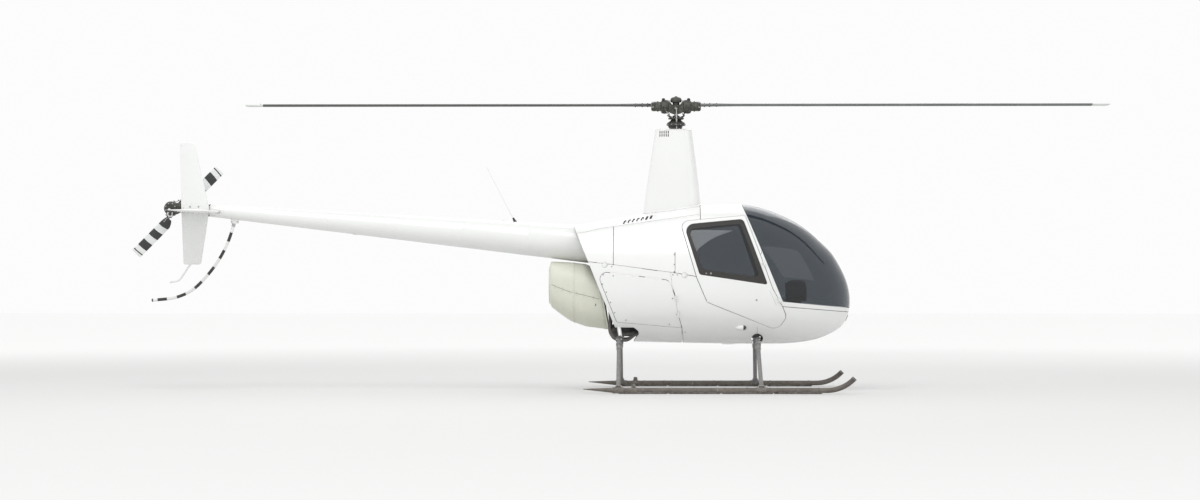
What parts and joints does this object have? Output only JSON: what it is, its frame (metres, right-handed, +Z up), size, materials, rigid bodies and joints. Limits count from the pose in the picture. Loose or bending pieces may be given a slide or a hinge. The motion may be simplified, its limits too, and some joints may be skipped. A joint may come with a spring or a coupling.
{
  "type": "two-seat light helicopter on skids",
  "caption": "Small helicopter with a round two-seat cabin, slim tail boom, tall mast fairing, two-blade rotors and skid landing gear.",
  "frame": {"origin": "bottom centre of the bounding box at rest, on the ground under the cabin's rear", "axes": "+X forward to the nose, +Y to the left side, +Z up"},
  "size_m": [8.7211, 1.975, 2.609],
  "materials": {
    "white_paint": "gloss",
    "boom_paint": "gloss",
    "cream_paint": "satin",
    "black_paint": "satin",
    "frame_steel": "satin",
    "tinted_glass": "polished",
    "grey_metal": "satin",
    "bare_steel": "satin",
    "olive_metal": "satin",
    "blade_grey": "satin",
    "skid_brown": "satin",
    "dark_leather": "matte",
    "carpet": "matte",
    "lamp": "polished",
    "engine_iron": "satin",
    "cast_metal": "satin"
  },
  "bodies": {
    "airframe": {"roof_cowl": "white_paint", "right_upper_panel": "white_paint", "left_upper_panel": "white_paint", "cabin_frame": "white_paint", "cabin_tub": "white_paint", "rear_lower_cowl": "white_paint", "mast_fairing": "white_paint", "vertical_fin": "white_paint", "horizontal_stabiliser": "white_paint", "tail_guard": "white_paint", "antenna": "white_paint", "tail_boom": "boom_paint", "fan_shroud": "cream_paint", "right_windshield": "tinted_glass", "left_windshield": "tinted_glass", "cabin_floor": "carpet", "rear_bulkhead": "carpet", "seat_bench": "black_paint", "instrument_console": "black_paint", "pedals": "black_paint", "swashplate_lower": "black_paint", "rear_frame": "frame_steel", "right_seat_cushion": "dark_leather", "right_seat_back": "dark_leather", "left_seat_cushion": "dark_leather", "left_seat_back": "dark_leather", "cyclic_stick": "bare_steel", "exhaust_pipe": "bare_steel", "engine_block": "engine_iron", "main_gearbox": "cast_metal", "tail_gearbox": "olive_metal", "right_skid": "skid_brown", "left_skid": "skid_brown", "front_cross_tube": "grey_metal", "rear_cross_tube": "grey_metal", "nose_light": "lamp", "right_nav_light": "lamp", "left_nav_light": "lamp"},
    "main_rotor": {"mast": "bare_steel", "swashplate_upper": "olive_metal", "rotor_hub": "olive_metal", "main_blade_front": "blade_grey", "main_blade_rear": "blade_grey"},
    "tail_rotor": {"tail_rotor_hub": "olive_metal", "tail_blade_upper": "blade_grey", "tail_blade_lower": "blade_grey"},
    "cooling_fan": {"fan_wheel": "cast_metal"},
    "right_door": {"right_door": "white_paint", "right_door_glass": "tinted_glass"},
    "left_door": {"left_door": "white_paint", "left_door_glass": "tinted_glass"},
    "right_engine_door": {"right_engine_door": "white_paint"},
    "left_engine_door": {"left_engine_door": "white_paint"}
  },
  "joints": [
    {"name": "main_rotor_spin", "type": "hinge", "parent": "airframe", "child": "main_rotor", "pos_m": [0.5255, 0, 2.531], "axis": [0, 0, 1], "continuous": true},
    {"name": "tail_rotor_spin", "type": "hinge", "parent": "airframe", "child": "tail_rotor", "pos_m": [-3.9745, 0.22, 1.615], "axis": [0, 1, 0], "continuous": true},
    {"name": "cooling_fan_spin", "type": "hinge", "parent": "airframe", "child": "cooling_fan", "pos_m": [-0.5545, 0, 0.93], "axis": [1, 0, 0], "continuous": true},
    {"name": "right_door_hinge", "type": "hinge", "parent": "airframe", "child": "right_door", "pos_m": [1.442, -0.546, 0.76], "axis": [-0.3885, 0, 0.9215], "range_deg": [0, 80]},
    {"name": "left_door_hinge", "type": "hinge", "parent": "airframe", "child": "left_door", "pos_m": [1.442, 0.546, 0.76], "axis": [0.3885, 0, -0.9215], "range_deg": [0, 80]},
    {"name": "right_engine_door_hinge", "type": "hinge", "parent": "airframe", "child": "right_engine_door", "pos_m": [0.5555, -0.516, 0.6], "axis": [-0.1457, -0.1878, 0.9713], "range_deg": [0, 90]},
    {"name": "left_engine_door_hinge", "type": "hinge", "parent": "airframe", "child": "left_engine_door", "pos_m": [0.5555, 0.516, 0.6], "axis": [0.1457, -0.1878, -0.9713], "range_deg": [0, 90]}
  ]
}
